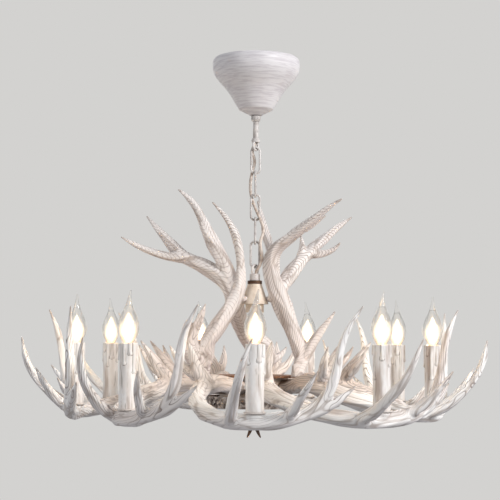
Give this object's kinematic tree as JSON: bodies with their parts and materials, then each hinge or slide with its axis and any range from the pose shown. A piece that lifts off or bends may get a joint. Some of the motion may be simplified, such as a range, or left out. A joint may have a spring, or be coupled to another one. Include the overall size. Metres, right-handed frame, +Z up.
{
  "type": "antler chandelier",
  "caption": "Hanging chandelier of cast antlers in two tiers, with candle lamps on the lower ring and a chain, cord and bell-shaped ceiling canopy above.",
  "frame": {"origin": "on the ceiling plane, midway between the two slots of the ceiling bracket, on the rod's line", "axes": "+Z up out of the ceiling plane, -Y towards the pictured front, +X to the viewer's right"},
  "size_m": [0.8113, 0.8066, 0.6816],
  "materials": {
    "steel": "brushed",
    "whitewash": "brushed whitewash",
    "cream_enamel": "satin, aged",
    "rust_metal": "matte, mottled",
    "aged_metal": "satin, aged",
    "upper_antler": "matte whitewashed resin",
    "lower_antler": "matte whitewashed resin",
    "candle": "satin",
    "bulb_glass": "clear",
    "bulb_brass": "polished",
    "filament": "glowing wire on a glass stem",
    "socket_plastic": "satin",
    "terminal_plastic": "satin",
    "lead_plastic": "satin",
    "cord_plastic": "satin"
  },
  "bodies": {
    "mount": {"ceiling_bracket": "steel", "terminal_block": "terminal_plastic", "rod_nuts": "steel", "drop_rod": "cream_enamel", "rod_loop": "cream_enamel"},
    "canopy": {"canopy": "whitewash", "canopy_collar": "cream_enamel"},
    "link_1": {"chain_link_1": "cream_enamel"},
    "link_2": {"chain_link_2": "cream_enamel"},
    "link_3": {"chain_link_3": "cream_enamel"},
    "link_4": {"chain_link_4": "cream_enamel"},
    "link_5": {"chain_link_5": "cream_enamel"},
    "lamp": {"root_bolts": "steel", "neck_screws": "steel", "foot_studs": "steel", "cap_loop": "cream_enamel", "neck_cap": "cream_enamel", "center_column": "cream_enamel", "cap_washer": "rust_metal", "hub_plate": "rust_metal", "hub_drum": "rust_metal", "hub_cover": "rust_metal", "finial": "aged_metal", "candle_cups": "aged_metal", "upper_antler_left": "upper_antler", "upper_antler_right": "upper_antler", "upper_antler_back": "upper_antler", "lower_antler_1": "lower_antler", "lower_antler_2": "lower_antler", "lower_antler_3": "lower_antler", "lower_antler_4": "lower_antler", "lower_antler_5": "lower_antler", "lower_antler_6": "lower_antler", "lower_antler_7": "lower_antler", "lower_antler_8": "lower_antler", "lower_antler_9": "lower_antler", "candle_sleeve_1": "candle", "candle_sleeve_2": "candle", "candle_sleeve_3": "candle", "candle_sleeve_4": "candle", "candle_sleeve_5": "candle", "candle_sleeve_6": "candle", "candle_sleeve_7": "candle", "candle_sleeve_8": "candle", "candle_sleeve_9": "candle", "bulb_glass_1": "bulb_glass", "bulb_glass_2": "bulb_glass", "bulb_glass_3": "bulb_glass", "bulb_glass_4": "bulb_glass", "bulb_glass_5": "bulb_glass", "bulb_glass_6": "bulb_glass", "bulb_glass_7": "bulb_glass", "bulb_glass_8": "bulb_glass", "bulb_glass_9": "bulb_glass", "bulb_bases": "bulb_brass", "filaments": "filament", "lamp_sockets": "socket_plastic", "hub_terminal": "terminal_plastic", "lamp_leads": "lead_plastic", "power_cord": "cord_plastic"}
  },
  "joints": [
    {"name": "canopy_slide", "type": "slide", "parent": "mount", "child": "canopy", "axis": [0, 0, 1], "range_m": [-0.027, 0]},
    {"name": "link_1_swing", "type": "hinge", "parent": "mount", "child": "link_1", "pos_m": [0, 0, -0.1658], "axis": [0.5, 0.866, 0], "range_deg": [-10, 10], "deforming": ["power_cord"]},
    {"name": "link_2_swing", "type": "hinge", "parent": "link_1", "child": "link_2", "pos_m": [0, 0, -0.2082], "axis": [1, 0, 0], "range_deg": [-10, 10], "deforming": ["power_cord"]},
    {"name": "link_3_swing", "type": "hinge", "parent": "link_2", "child": "link_3", "pos_m": [0, 0, -0.2508], "axis": [0, 1, 0], "range_deg": [-10, 10], "deforming": ["power_cord"]},
    {"name": "link_4_swing", "type": "hinge", "parent": "link_3", "child": "link_4", "pos_m": [0, 0, -0.2934], "axis": [1, 0, 0], "range_deg": [-10, 10], "deforming": ["power_cord"]},
    {"name": "link_5_swing", "type": "hinge", "parent": "link_4", "child": "link_5", "pos_m": [0, 0, -0.336], "axis": [0, 1, 0], "range_deg": [-10, 10], "deforming": ["power_cord"]},
    {"name": "lamp_swing", "type": "hinge", "parent": "link_5", "child": "lamp", "pos_m": [0, 0, -0.3786], "axis": [1, 0, 0], "range_deg": [-10, 10], "deforming": ["power_cord"]}
  ]
}
